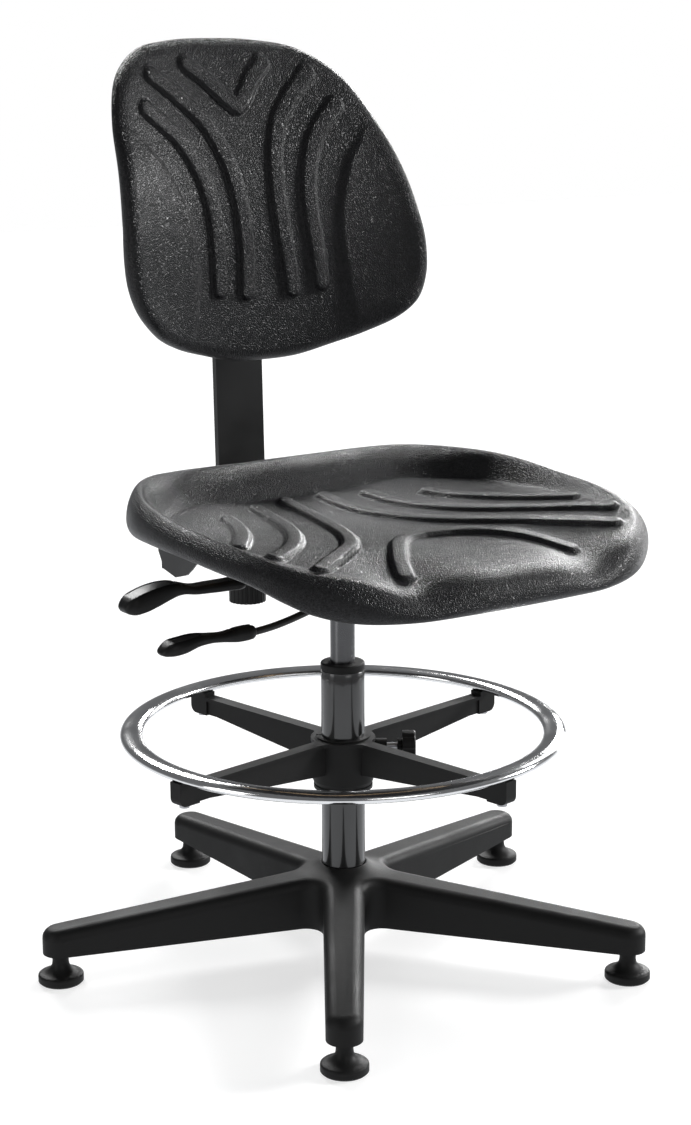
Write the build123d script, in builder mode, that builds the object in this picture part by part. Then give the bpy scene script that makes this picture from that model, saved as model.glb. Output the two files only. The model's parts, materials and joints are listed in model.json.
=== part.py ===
"""Drafting chair: five-leg base on glides, gas lift column, foot ring, seat and back.

Frame: +Z up, origin on the column axis at floor level. The sitter faces -Y,
so the levers under the seat stick out to the sitter's right, along -X.
Every length is in millimetres and every angle in degrees.
"""

import os
from math import asin, cos, radians, sin

from build123d import *

os.makedirs("parts", exist_ok=True)

# ---------------------------------------------------------------- driving dimensions
LEG_COUNT = 5
FIRST_LEG = -124.6          # angle of the leg that the base is turned by
GLIDE_CIRCLE = 335.0        # radius of the circle that the glides stand on
LEG_BOTTOM = 35.0           # underside of the legs
LEG_TIP_RADIUS = 19.5
LEG_ROOT_HALF = 24.5        # half width of a leg at the column axis
LEG_SLOPE = 0.0965          # fall of the leg tops per millimetre outwards
LEG_TOP_AT_AXIS = 98.0      # height of the leg top line, carried to the axis
HUB_TOP = 102.5
HUB_TOP_RADIUS = 27.5
STAR_WALL = 5.0
GLIDE_RADIUS = 25.5
STEM_RADIUS = 5.5

TUBE_RADIUS = 25.0          # outer tube of the column
TUBE_BORE = 23.0
TUBE_TOP = 334.0
COLUMN_TOP = 343.0
LIFT_RADIUS = 14.0          # gas cylinder
LIFT_BOTTOM = 95.0
LIFT_TOP = 466.0
FIT = 0.05                  # radial clearance of a running fit

RING_RADIUS = 254.0         # outside of the foot ring
RING_WIDTH = 25.4
RING_HEIGHT = 13.0
RING_Z = 263.5
RING_WALL = 1.6
SPIDER_TOP = 254.0
SPIDER_BOTTOM = 199.0
ARM_COUNT = 4
FIRST_ARM = 10.4
CLAMP_ANGLE = -34.6
CLAMP_Z = 242.0

PAN_BOTTOM = 416.0          # control housing under the seat
PAN_HALF = 56.0
PAN_WALL = 3.0
TILT_Y, TILT_Z = 48.0, 456.0
PLATE_Z = 482.5             # underside of the seat plate
PLATE_THICK = 3.5
BACK_Y, BACK_Z = 160.0, 455.0
FLANGE_X = 108.0            # inner face of the back bracket's side flanges

BAR_WIDTH = 64.0
BAR_THICK = 8.0
BAR_LEAN = 1.5
BAR_FRONT_Y, BAR_FRONT_Z = 209.0, 549.0
SHEET = 4.0


def leg_top(radius):
    """Height of the leg top line at a distance from the axis."""
    return LEG_TOP_AT_AXIS - LEG_SLOPE * radius


# ---------------------------------------------------------------- five-leg base
SIDE_ANGLE = asin((LEG_ROOT_HALF - LEG_TIP_RADIUS) / GLIDE_CIRCLE)
ROOT_FILLET = 20.0
EDGE_ROUND = 12.0
FLARE_RADIUS = 64.0         # where the hub's cone has run out into the legs
FAR = 400.0
HUB_RING_RADIUS = 29.0
HUB_RING_TOP = 97.0
BOSS_RADIUS = 11.0
RIB = 3.0


def leg_outline(margin):
    """Corner points of one leg in plan, pulled in by a margin."""
    tip = LEG_TIP_RADIUS - margin
    root = LEG_ROOT_HALF - margin
    x = GLIDE_CIRCLE + tip * sin(SIDE_ANGLE)
    y = tip * cos(SIDE_ANGLE)
    return [(0, -root), (x, -y), (x, y), (0, root)]


def star_profile(drop):
    """Half section of the volume under the leg tops, lowered by a drop."""
    with BuildSketch(Plane.XZ) as half:
        with BuildLine():
            edge = Line((FAR, leg_top(FAR) - drop), (FLARE_RADIUS, leg_top(FLARE_RADIUS) - drop))
            flare = Spline(
                [edge @ 1, (HUB_TOP_RADIUS, HUB_TOP - drop)],
                tangents=[(-1, LEG_SLOPE), (-0.8, 0.6)],
            )
            Polyline(
                flare @ 1, (0, HUB_TOP - drop), (0, LEG_BOTTOM), (FAR, LEG_BOTTOM), edge @ 0
            )
        make_face()
    return half.sketch


with BuildPart() as base_star:
    with BuildSketch(Plane.XY.offset(LEG_BOTTOM)) as star_plan:
        with PolarLocations(0, LEG_COUNT, start_angle=FIRST_LEG):
            Polygon(*leg_outline(0), align=None)
        with PolarLocations(GLIDE_CIRCLE, LEG_COUNT, start_angle=FIRST_LEG):
            Circle(LEG_TIP_RADIUS)
        roots = star_plan.vertices().filter_by(lambda v: (v.X**2 + v.Y**2) ** 0.5 < 2 * LEG_ROOT_HALF)
        fillet(roots, ROOT_FILLET)
    extrude(amount=HUB_TOP)
    revolve(star_profile(0), axis=Axis.Z, mode=Mode.INTERSECT)
    shoulders = base_star.edges().filter_by(
        lambda e: e.center().Z > LEG_BOTTOM + 15
        and (e.center().X ** 2 + e.center().Y ** 2) ** 0.5 > 1.2 * HUB_TOP_RADIUS
        and abs(e.position_at(0).Z - e.position_at(1).Z) < 25
    )
    fillet(shoulders, EDGE_ROUND)
    with BuildPart(mode=Mode.PRIVATE) as hollows:
        with BuildSketch(Plane.XY.offset(LEG_BOTTOM)):
            with PolarLocations(0, LEG_COUNT, start_angle=FIRST_LEG):
                Polygon(*leg_outline(STAR_WALL), align=None)
            with PolarLocations(GLIDE_CIRCLE, LEG_COUNT, start_angle=FIRST_LEG):
                Circle(LEG_TIP_RADIUS - STAR_WALL)
                Circle(BOSS_RADIUS, mode=Mode.SUBTRACT)
            Circle(HUB_RING_RADIUS + STAR_WALL, mode=Mode.SUBTRACT)
            with PolarLocations(GLIDE_CIRCLE / 2, LEG_COUNT, start_angle=FIRST_LEG):
                Rectangle(GLIDE_CIRCLE, RIB, mode=Mode.SUBTRACT)
            for across in range(1, 5):
                with PolarLocations(62.0 * across + 25, LEG_COUNT, start_angle=FIRST_LEG):
                    Rectangle(RIB, 2 * LEG_ROOT_HALF, mode=Mode.SUBTRACT)
        extrude(amount=HUB_TOP)
        revolve(star_profile(STAR_WALL + 1), axis=Axis.Z, mode=Mode.INTERSECT)
    add(hollows.part, mode=Mode.SUBTRACT)
    with Locations((0, 0, LEG_BOTTOM)):
        Cylinder(HUB_RING_RADIUS, HUB_RING_TOP - LEG_BOTTOM, mode=Mode.SUBTRACT,
                 align=(Align.CENTER, Align.CENTER, Align.MIN))
        Cylinder(TUBE_RADIUS + 0.9, HUB_TOP, mode=Mode.SUBTRACT,
                 align=(Align.CENTER, Align.CENTER, Align.MIN))
    with BuildSketch(Plane.XY.offset(LEG_BOTTOM)):
        with PolarLocations(GLIDE_CIRCLE, LEG_COUNT, start_angle=FIRST_LEG):
            Circle(STEM_RADIUS)
    extrude(amount=23, mode=Mode.SUBTRACT)
base_star.part.label = "base_star"
export_step(base_star.part, "parts/base_star.step")

with BuildPart() as base_hub_ring:
    with BuildSketch(Plane.XY.offset(LEG_BOTTOM - 1)):
        Circle(HUB_RING_RADIUS)
        Circle(TUBE_RADIUS, mode=Mode.SUBTRACT)
    extrude(amount=HUB_RING_TOP - LEG_BOTTOM + 1)
base_hub_ring.part.label = "base_hub_ring"
export_step(base_hub_ring.part, "parts/base_hub_ring.step")

# Glides: a mushroom foot of nylon on a steel stem that is pushed into the leg.
NECK_RADIUS = 9.2
RIM_HEIGHT = 8.0
with BuildPart() as floor_glides:
    with BuildSketch(Plane.XZ) as glide_half:
        with BuildLine():
            foot = Polyline((0, 0), (GLIDE_RADIUS - 2, 0), (GLIDE_RADIUS, 2), (GLIDE_RADIUS, RIM_HEIGHT))
            bell = Spline(
                [foot @ 1, (GLIDE_RADIUS - 5, RIM_HEIGHT + 3.5), (NECK_RADIUS + 3, 17), (NECK_RADIUS, 25)],
                tangents=[(0, 1), (0, 1)],
            )
            Polyline(bell @ 1, (NECK_RADIUS, LEG_BOTTOM), (0, LEG_BOTTOM), (0, 0))
        make_face()
        with Locations((STEM_RADIUS / 2, 12)):
            Rectangle(STEM_RADIUS, LEG_BOTTOM, align=(Align.CENTER, Align.MIN), mode=Mode.SUBTRACT)
    glide = revolve(glide_half.sketch, axis=Axis.Z, mode=Mode.PRIVATE)
    with PolarLocations(GLIDE_CIRCLE, LEG_COUNT, start_angle=FIRST_LEG):
        add(glide)
floor_glides.part.label = "floor_glides"
export_step(floor_glides.part, "parts/floor_glides.step")

with BuildPart() as glide_stems:
    with BuildSketch(Plane.XY.offset(12)):
        with PolarLocations(GLIDE_CIRCLE, LEG_COUNT, start_angle=FIRST_LEG):
            Circle(STEM_RADIUS)
    extrude(amount=44)
    chamfer(glide_stems.edges().group_by(Axis.Z)[-1], 1.2)
glide_stems.part.label = "glide_stems"
export_step(glide_stems.part, "parts/glide_stems.step")

# ---------------------------------------------------------------- column
TUBE_BOTTOM = 26.0
CAP_TOP = 33.0
BEARING_TOP = 39.5
ROD_RADIUS = 5.0
PISTON_Z = 250.0
LIFT_BORE = 12.2
TAPER_FROM = 412.0
TAPER_TO = 462.0
TAPER_TIP = 13.0


def ring(z, height, outer, inner):
    """Add a plain ring to the part being built."""
    with BuildSketch(Plane.XY.offset(z)) as section:
        Circle(outer)
        Circle(inner, mode=Mode.SUBTRACT)
    extrude(section.sketch, amount=height)


with BuildPart() as outer_tube:
    ring(TUBE_BOTTOM, TUBE_TOP - TUBE_BOTTOM, TUBE_RADIUS, TUBE_BORE)
outer_tube.part.label = "outer_tube"
export_step(outer_tube.part, "parts/outer_tube.step")

with BuildPart() as tube_end_cap:
    ring(TUBE_BOTTOM + 2, CAP_TOP - TUBE_BOTTOM - 2, TUBE_BORE, ROD_RADIUS + 0.1)
tube_end_cap.part.label = "tube_end_cap"
export_step(tube_end_cap.part, "parts/tube_end_cap.step")

with BuildPart() as tube_bush:
    ring(COLUMN_TOP - 75, 75, TUBE_BORE, LIFT_RADIUS + FIT)
    ring(TUBE_TOP, 2, TUBE_RADIUS - 0.7, LIFT_RADIUS + FIT)
    ring(TUBE_TOP + 2, COLUMN_TOP - TUBE_TOP - 2, TUBE_RADIUS + 0.2, LIFT_RADIUS + FIT)
    rim = tube_bush.edges().group_by(Axis.Z)[-1].sort_by(SortBy.RADIUS)[-1]
    fillet(rim, 2)
tube_bush.part.label = "tube_bush"
export_step(tube_bush.part, "parts/tube_bush.step")

BALL_RADIUS = 1.7
BALL_CIRCLE = 9.0
with BuildPart() as thrust_bearing:
    ring(CAP_TOP, 1.5, 13, ROD_RADIUS + 0.2)
    ring(BEARING_TOP - 1.5, 1.5, 13, ROD_RADIUS + 0.2)
    with Locations((0, 0, (CAP_TOP + BEARING_TOP) / 2)):
        with PolarLocations(BALL_CIRCLE, 12):
            Sphere(BALL_RADIUS)
thrust_bearing.part.label = "thrust_bearing"
export_step(thrust_bearing.part, "parts/thrust_bearing.step")

with BuildPart() as piston_rod:
    with Locations((0, 0, 19)):
        Cylinder(ROD_RADIUS, PISTON_Z - 19, align=(Align.CENTER, Align.CENTER, Align.MIN))
    ring(BEARING_TOP + 0.1, 3, 9, ROD_RADIUS - 1)
    ring(22, 1.6, ROD_RADIUS + 1, ROD_RADIUS - 1)
    with BuildSketch(Plane.XY.offset(22)):
        Circle(ROD_RADIUS + 2)
        Circle(ROD_RADIUS - 0.8, mode=Mode.SUBTRACT)
    extrude(amount=1.6, mode=Mode.SUBTRACT)
piston_rod.part.label = "piston_rod"
export_step(piston_rod.part, "parts/piston_rod.step")

with BuildPart() as rod_clip:
    ring(22, 1.6, 9, ROD_RADIUS - 0.8)
    with Locations((9, 0, 22.8)):
        Box(12, 5, 4, mode=Mode.SUBTRACT)
rod_clip.part.label = "rod_clip"
export_step(rod_clip.part, "parts/rod_clip.step")

with BuildPart() as rubber_buffer:
    ring(BEARING_TOP + 3.1, 6, 12, ROD_RADIUS)
rubber_buffer.part.label = "rubber_buffer"
export_step(rubber_buffer.part, "parts/rubber_buffer.step")

with BuildPart() as piston:
    ring(PISTON_Z, 12, LIFT_BORE - FIT, 2.5)
    with BuildSketch(Plane.XY.offset(PISTON_Z + 4)):
        Circle(LIFT_BORE)
        Circle(LIFT_BORE - 1.5, mode=Mode.SUBTRACT)
    extrude(amount=4, mode=Mode.SUBTRACT)
piston.part.label = "piston"
export_step(piston.part, "parts/piston.step")

with BuildPart() as gas_cylinder:
    with BuildSketch(Plane.XZ):
        with BuildLine():
            Polyline(
                (LIFT_BORE, LIFT_BOTTOM), (LIFT_RADIUS, LIFT_BOTTOM), (LIFT_RADIUS, TAPER_FROM),
                (TAPER_TIP, TAPER_TO), (TAPER_TIP, LIFT_TOP), (3 + FIT, LIFT_TOP),
                (3 + FIT, LIFT_TOP - 10), (LIFT_BORE, LIFT_TOP - 10), (LIFT_BORE, LIFT_BOTTOM),
            )
        make_face()
    revolve(axis=Axis.Z)
gas_cylinder.part.label = "gas_cylinder"
export_step(gas_cylinder.part, "parts/gas_cylinder.step")

with BuildPart() as rod_seal:
    ring(LIFT_BOTTOM, 8, LIFT_BORE, ROD_RADIUS + FIT)
rod_seal.part.label = "rod_seal"
export_step(rod_seal.part, "parts/rod_seal.step")

VALVE_TOP = 474.2
with BuildPart() as valve_pin:
    with Locations((0, 0, LIFT_TOP - 6.5)):
        Cylinder(3, VALVE_TOP - LIFT_TOP + 6.5, align=(Align.CENTER, Align.CENTER, Align.MIN))
    chamfer(valve_pin.edges().group_by(Axis.Z)[-1], 0.6)
valve_pin.part.label = "valve_pin"
export_step(valve_pin.part, "parts/valve_pin.step")

# ---------------------------------------------------------------- foot ring
SLEEVE_RADIUS = 30.9
BUSH_BOTTOM = 194.5
KNOB_FROM = 62.0
KNOB_TO = 83.0
CLAMP_STUD = 4.0
ARM_WIDTH = 16.0
ARM_WEB = 12.0
ARM_END = RING_RADIUS
BLOCK_FROM = 226.0
BLOCK_BOTTOM = 232.0
SCREW_RADIUS = 3.0
SCREW_CIRCLE = RING_RADIUS - RING_WIDTH / 2


def radial(angle, distance, z):
    """Plane whose normal points outwards from the column at an angle."""
    a = radians(angle)
    return Plane(
        origin=(distance * cos(a), distance * sin(a), z),
        x_dir=(-sin(a), cos(a), 0),
        z_dir=(cos(a), sin(a), 0),
    )


with BuildPart() as ring_bush:
    ring(BUSH_BOTTOM, SPIDER_TOP + 2 - BUSH_BOTTOM, SLEEVE_RADIUS, TUBE_RADIUS + FIT)
    ring(BUSH_BOTTOM, 4, SLEEVE_RADIUS + 3, TUBE_RADIUS + FIT)
    with BuildSketch(radial(CLAMP_ANGLE + 180, TUBE_RADIUS - 2, BUSH_BOTTOM)):
        Rectangle(2.5, 200)
    extrude(amount=20, mode=Mode.SUBTRACT)
ring_bush.part.label = "ring_bush"
export_step(ring_bush.part, "parts/ring_bush.step")

with BuildPart() as spider:
    with BuildSketch(Plane.XZ):
        with BuildLine():
            Polyline(
                (SLEEVE_RADIUS + FIT, SPIDER_BOTTOM), (33, SPIDER_BOTTOM), (35, SPIDER_BOTTOM + 5),
                (36, SPIDER_TOP - 4), (37, SPIDER_TOP - 4), (37, SPIDER_TOP),
                (SLEEVE_RADIUS + FIT, SPIDER_TOP), (SLEEVE_RADIUS + FIT, SPIDER_BOTTOM),
            )
        make_face()
    revolve(axis=Axis.Z)
    with BuildSketch(Plane.XY.offset(SPIDER_TOP - 4)) as top_plan:
        Circle(37)
        with PolarLocations(ARM_END / 2, ARM_COUNT, start_angle=FIRST_ARM):
            Rectangle(ARM_END, ARM_WIDTH)
        corners = top_plan.vertices().filter_by(lambda v: (v.X**2 + v.Y**2) ** 0.5 < 60)
        fillet(corners, 7)
        Circle(SLEEVE_RADIUS + FIT, mode=Mode.SUBTRACT)
    extrude(amount=4)
    for n in range(ARM_COUNT):
        arm_angle = FIRST_ARM + 90 * n
        side = Plane.XZ.rotated((0, 0, arm_angle))
        with BuildSketch(side):
            Polygon(
                (34, SPIDER_TOP - 4), (34, 216), (106, 222.5), (210, 233),
                (BLOCK_FROM, BLOCK_BOTTOM + 1), (BLOCK_FROM, SPIDER_TOP - 4), align=None,
            )
        extrude(amount=ARM_WEB / 2, both=True)
        with BuildSketch(side):
            with BuildLine():
                Polyline(
                    (ARM_END - 9, BLOCK_BOTTOM), (BLOCK_FROM, BLOCK_BOTTOM), (BLOCK_FROM, SPIDER_TOP),
                    (ARM_END, SPIDER_TOP), (ARM_END, BLOCK_BOTTOM + 9),
                )
                RadiusArc((ARM_END, BLOCK_BOTTOM + 9), (ARM_END - 9, BLOCK_BOTTOM), 9)
            make_face()
        extrude(amount=ARM_WIDTH / 2, both=True)
    with BuildSketch(radial(CLAMP_ANGLE, 33, CLAMP_Z)):
        Circle(9)
    extrude(amount=17)
    with BuildSketch(radial(CLAMP_ANGLE, 20, CLAMP_Z)):
        Circle(CLAMP_STUD + FIT)
    extrude(amount=40, mode=Mode.SUBTRACT)
    with BuildSketch(Plane.XY.offset(BLOCK_BOTTOM - 2)):
        with PolarLocations(SCREW_CIRCLE, ARM_COUNT, start_angle=FIRST_ARM):
            Circle(SCREW_RADIUS)
    extrude(amount=40, mode=Mode.SUBTRACT)
spider.part.label = "spider"
export_step(spider.part, "parts/spider.step")

with BuildPart() as foot_ring:
    with BuildSketch(Plane.XZ):
        with Locations((SCREW_CIRCLE, RING_Z)):
            Ellipse(RING_WIDTH / 2, RING_HEIGHT / 2)
            Ellipse(RING_WIDTH / 2 - RING_WALL, RING_HEIGHT / 2 - RING_WALL, mode=Mode.SUBTRACT)
    revolve(axis=Axis.Z)
    with BuildSketch(Plane.XY.offset(RING_Z)):
        with PolarLocations(SCREW_CIRCLE, ARM_COUNT, start_angle=FIRST_ARM):
            Circle(SCREW_RADIUS)
    extrude(amount=-20, mode=Mode.SUBTRACT)
foot_ring.part.label = "foot_ring"
export_step(foot_ring.part, "parts/foot_ring.step")

# Each pad's top is cut to the ring's underside, so that it carries the ring.
with BuildPart() as ring_pads:
    with BuildSketch(Plane.XY.offset(SPIDER_TOP)):
        with PolarLocations(SCREW_CIRCLE, ARM_COUNT, start_angle=FIRST_ARM):
            Rectangle(RING_WIDTH, ARM_WIDTH)
            Circle(SCREW_RADIUS, mode=Mode.SUBTRACT)
    extrude(amount=5)
    with BuildSketch(Plane.XZ):
        with Locations((SCREW_CIRCLE, RING_Z)):
            Ellipse(RING_WIDTH / 2, RING_HEIGHT / 2)
    revolve(axis=Axis.Z, mode=Mode.SUBTRACT)
ring_pads.part.label = "ring_pads"
export_step(ring_pads.part, "parts/ring_pads.step")

with BuildPart() as ring_screws:
    with BuildSketch(Plane.XY.offset(BLOCK_BOTTOM)):
        with PolarLocations(SCREW_CIRCLE, ARM_COUNT, start_angle=FIRST_ARM):
            Circle(SCREW_RADIUS)
    extrude(amount=RING_Z - BLOCK_BOTTOM - 2)
    with BuildSketch(Plane.XY.offset(BLOCK_BOTTOM)):
        with PolarLocations(SCREW_CIRCLE, ARM_COUNT, start_angle=FIRST_ARM):
            Circle(5.5)
    extrude(amount=-3)
    with BuildSketch(Plane.XY.offset(BLOCK_BOTTOM - 3)):
        with PolarLocations(SCREW_CIRCLE, ARM_COUNT, start_angle=FIRST_ARM):
            RegularPolygon(2.6, 6)
    extrude(amount=2, mode=Mode.SUBTRACT)
ring_screws.part.label = "ring_screws"
export_step(ring_screws.part, "parts/ring_screws.step")

with BuildPart() as clamp_stud:
    with BuildSketch(radial(CLAMP_ANGLE, SLEEVE_RADIUS + 0.15, CLAMP_Z)):
        Circle(CLAMP_STUD)
    extrude(amount=KNOB_TO - 8 - SLEEVE_RADIUS - 0.15)
clamp_stud.part.label = "clamp_stud"
export_step(clamp_stud.part, "parts/clamp_stud.step")


def star_knob(plane, radius, height, stud, lobes):
    """Add a lobed hand knob, with a blind bore for its stud, to the part being built."""
    with BuildSketch(plane) as lobed:
        Circle(radius)
        with PolarLocations(radius + 2.2, lobes):
            Circle(radius * 0.23, mode=Mode.SUBTRACT)
    extrude(lobed.sketch, amount=height)
    fillet(faces().sort_by(Axis(plane.origin, plane.z_dir))[-1].outer_wire().edges(), 2)
    with BuildSketch(plane.offset(-6)) as neck:
        Circle(radius * 0.5)
    extrude(neck.sketch, amount=6)
    with BuildSketch(plane.offset(-6)) as bore:
        Circle(stud)
    extrude(bore.sketch, amount=height - 2, mode=Mode.SUBTRACT)


with BuildPart() as clamp_grip:
    star_knob(radial(CLAMP_ANGLE, KNOB_FROM + 6, CLAMP_Z), 18, KNOB_TO - KNOB_FROM - 6, CLAMP_STUD, 6)
clamp_grip.part.label = "clamp_grip"
export_step(clamp_grip.part, "parts/clamp_grip.step")

# ---------------------------------------------------------------- control under the seat
PAN_FRONT = -85.0
PAN_REAR = 150.0
HEIGHT_LEVER_Y = -40.0
TILT_LEVER_Y = 60.0
HEIGHT_PIVOT = (-40.0, 440.0)
TILT_PIVOT = (-44.0, 437.0)
KNOB_X, KNOB_Y = -42.0, 134.0
KNOB_RADIUS = 21.5
KNOB_BOTTOM = 393.0
SHAFT_RADIUS = 6.0
HEIGHT_PIN = 3.0
TILT_PIN = 4.0

PAN_SIDE = [
    (PAN_FRONT, PAN_BOTTOM), (72, PAN_BOTTOM), (100, 432), (PAN_REAR, 432),
    (PAN_REAR, 463), (TILT_Y + 8, 478), (TILT_Y - 8, 478), (PAN_FRONT, 468),
]
PAN_CAVITY = [
    (PAN_FRONT + PAN_WALL, PAN_BOTTOM + PAN_WALL), (71, PAN_BOTTOM + PAN_WALL), (99, 435),
    (PAN_REAR - PAN_WALL, 435), (PAN_REAR - PAN_WALL, 500), (PAN_FRONT + PAN_WALL, 500),
]


def along_y(y0, y1, x, z, radius, mode=Mode.ADD):
    """Add or cut a round bar that runs along Y in the part being built."""
    with BuildSketch(Plane.XZ.offset(-y0)) as section:
        with Locations((x, z)):
            Circle(radius)
    extrude(section.sketch, amount=y0 - y1, mode=mode)


with BuildPart() as control_housing:
    with BuildSketch(Plane.YZ):
        Polygon(*PAN_SIDE, align=None)
    extrude(amount=PAN_HALF, both=True)
    with BuildSketch(Plane.YZ):
        Polygon(*PAN_CAVITY, align=None)
    extrude(amount=PAN_HALF - PAN_WALL, both=True, mode=Mode.SUBTRACT)
    # Ears that carry the two lever pins.
    for x, z, ears in ((*HEIGHT_PIVOT, (-57, 9)), (*TILT_PIVOT, (44, 73))):
        for y in ears:
            with Locations((x, y + 1.5, (PAN_BOTTOM + z + 8) / 2)):
                Box(14, PAN_WALL, z + 8 - PAN_BOTTOM)
    # Windows for the levers, hole for the taper, tension screw and tilt shaft.
    with Locations((-PAN_HALF, HEIGHT_LEVER_Y, 434)):
        Box(12, 16, 32, mode=Mode.SUBTRACT)
    with Locations((-PAN_HALF, TILT_LEVER_Y, 437)):
        Box(12, 26, 24, mode=Mode.SUBTRACT)
    with Locations((0, 0, PAN_BOTTOM)):
        Cylinder(19, 20, mode=Mode.SUBTRACT)
    with Locations((KNOB_X, KNOB_Y, 432)):
        Cylinder(5 + FIT, 20, mode=Mode.SUBTRACT)
    with BuildSketch(Plane.YZ):
        with Locations((TILT_Y, TILT_Z)):
            Circle(SHAFT_RADIUS)
    extrude(amount=FAR, both=True, mode=Mode.SUBTRACT)
    along_y(-60, 15, *HEIGHT_PIVOT, HEIGHT_PIN, Mode.SUBTRACT)
    along_y(41, 79, *TILT_PIVOT, TILT_PIN, Mode.SUBTRACT)
control_housing.part.label = "control_housing"
export_step(control_housing.part, "parts/control_housing.step")

with BuildPart() as taper_socket:
    with BuildSketch(Plane.XZ):
        with BuildLine():
            Polyline(
                (LIFT_RADIUS, 408), (18, 408), (19, 409), (19, PAN_BOTTOM + PAN_WALL),
                (24, PAN_BOTTOM + PAN_WALL), (24, PAN_BOTTOM + PAN_WALL + 4), (19, PAN_BOTTOM + PAN_WALL + 4),
                (19, TAPER_TO), (TAPER_TIP, TAPER_TO), (LIFT_RADIUS, TAPER_FROM), (LIFT_RADIUS, 408),
            )
        make_face()
    revolve(axis=Axis.Z)
taper_socket.part.label = "taper_socket"
export_step(taper_socket.part, "parts/taper_socket.step")

with BuildPart() as tilt_shaft:
    with BuildSketch(Plane.YZ):
        with Locations((TILT_Y, TILT_Z)):
            Circle(SHAFT_RADIUS)
    extrude(amount=64, both=True)
    for sign in (-1, 1):
        with BuildSketch(Plane.YZ.offset(sign * 64)):
            with Locations((TILT_Y, TILT_Z)):
                Circle(9)
        extrude(amount=sign * 2.5)
tilt_shaft.part.label = "tilt_shaft"
export_step(tilt_shaft.part, "parts/tilt_shaft.step")

with BuildPart() as lever_pins:
    along_y(-59, 13, *HEIGHT_PIVOT, HEIGHT_PIN)
    along_y(41.5, 78.5, *TILT_PIVOT, TILT_PIN)
lever_pins.part.label = "lever_pins"
export_step(lever_pins.part, "parts/lever_pins.step")

LOCK_PLATES = 5
with BuildPart() as lock_plates:
    for n in range(LOCK_PLATES):
        with Locations((4 + 7 * n, 57, 432)):
            Box(3, 26, 24)
    with Locations((18, 57, 432)):
        Cylinder(5, 38, rotation=(0, 90, 0))
lock_plates.part.label = "lock_plates"
export_step(lock_plates.part, "parts/lock_plates.step")

with BuildPart() as tension_stud:
    with BuildSketch(Plane.XY.offset(KNOB_BOTTOM + 8)):
        with Locations((KNOB_X, KNOB_Y)):
            Circle(5)
    extrude(amount=62)
tension_stud.part.label = "tension_stud"
export_step(tension_stud.part, "parts/tension_stud.step")

with BuildPart() as tension_knob:
    with BuildSketch(Plane.XY.offset(KNOB_BOTTOM)):
        with Locations((KNOB_X, KNOB_Y)):
            Circle(KNOB_RADIUS)
            with PolarLocations(KNOB_RADIUS + 1.2, 24):
                Circle(2, mode=Mode.SUBTRACT)
    extrude(amount=33)
    with BuildSketch(Plane.XY.offset(KNOB_BOTTOM + 27)):
        with Locations((KNOB_X, KNOB_Y)):
            Circle(KNOB_RADIUS + 4)
            Circle(KNOB_RADIUS - 4, mode=Mode.SUBTRACT)
    extrude(amount=10, mode=Mode.SUBTRACT)
    with BuildSketch(Plane.XY.offset(KNOB_BOTTOM + 8)):
        with Locations((KNOB_X, KNOB_Y)):
            Circle(5)
    extrude(amount=30, mode=Mode.SUBTRACT)
tension_knob.part.label = "tension_knob"
export_step(tension_knob.part, "parts/tension_knob.step")

COIL_RADIUS = 8.3
COIL_WIRE = 1.4
with BuildPart() as tilt_spring:
    with BuildLine() as coil:
        Helix(pitch=4.4, height=17, radius=COIL_RADIUS, center=(KNOB_X, KNOB_Y, 437))
    with BuildSketch(Plane(origin=coil.line @ 0, z_dir=coil.line % 0)):
        Circle(COIL_WIRE)
    sweep(is_frenet=True)
tilt_spring.part.label = "tilt_spring"
export_step(tilt_spring.part, "parts/tilt_spring.step")

with BuildPart() as spring_nut:
    with BuildSketch(Plane.XY.offset(456)):
        with Locations((KNOB_X, KNOB_Y)):
            RegularPolygon(9.5, 6)
            Circle(5 + FIT, mode=Mode.SUBTRACT)
    extrude(amount=5)
spring_nut.part.label = "spring_nut"
export_step(spring_nut.part, "parts/spring_nut.step")

# ---------------------------------------------------------------- levers
ROD_SIZE = 4.0
HEIGHT_TIP_X = -258.0
TILT_TIP_X = -244.0


def grip_section(x, y, z, wide, tall):
    """Rounded cross section of a lever grip, square to the X axis."""
    with BuildSketch(Plane(origin=(x, y, z), x_dir=(0, 1, 0), z_dir=(1, 0, 0))) as section:
        RectangleRounded(wide, tall, min(wide, tall) * 0.42)
    return section.sketch


with BuildPart() as height_lever_rod:
    with BuildLine() as rod_line:
        Spline(
            [
                (HEIGHT_PIVOT[0] - 4, HEIGHT_LEVER_Y, 436), (-62, HEIGHT_LEVER_Y, 424.5),
                (-80, HEIGHT_LEVER_Y, 419), (-112, HEIGHT_LEVER_Y, 412), (-175, HEIGHT_LEVER_Y, 408.5),
            ]
        )
    with BuildSketch(Plane(origin=rod_line.line @ 0, z_dir=rod_line.line % 0)):
        Circle(ROD_SIZE)
    sweep()
    along_y(-53, 8, *HEIGHT_PIVOT, 6.5)
    along_y(-60, 15, *HEIGHT_PIVOT, HEIGHT_PIN + FIT, Mode.SUBTRACT)
    with BuildSketch(Plane.XZ.offset(-6)):
        Polygon(
            (-46, 442), (-46, 470), (-39, 477.4), (5, 477.4), (5, 474.5), (-32, 474.5), (-34, 442), align=None
        )
    extrude(amount=12)
    along_y(-60, 15, *HEIGHT_PIVOT, HEIGHT_PIN + FIT, Mode.SUBTRACT)
height_lever_rod.part.label = "height_lever_rod"
export_step(height_lever_rod.part, "parts/height_lever_rod.step")

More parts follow.
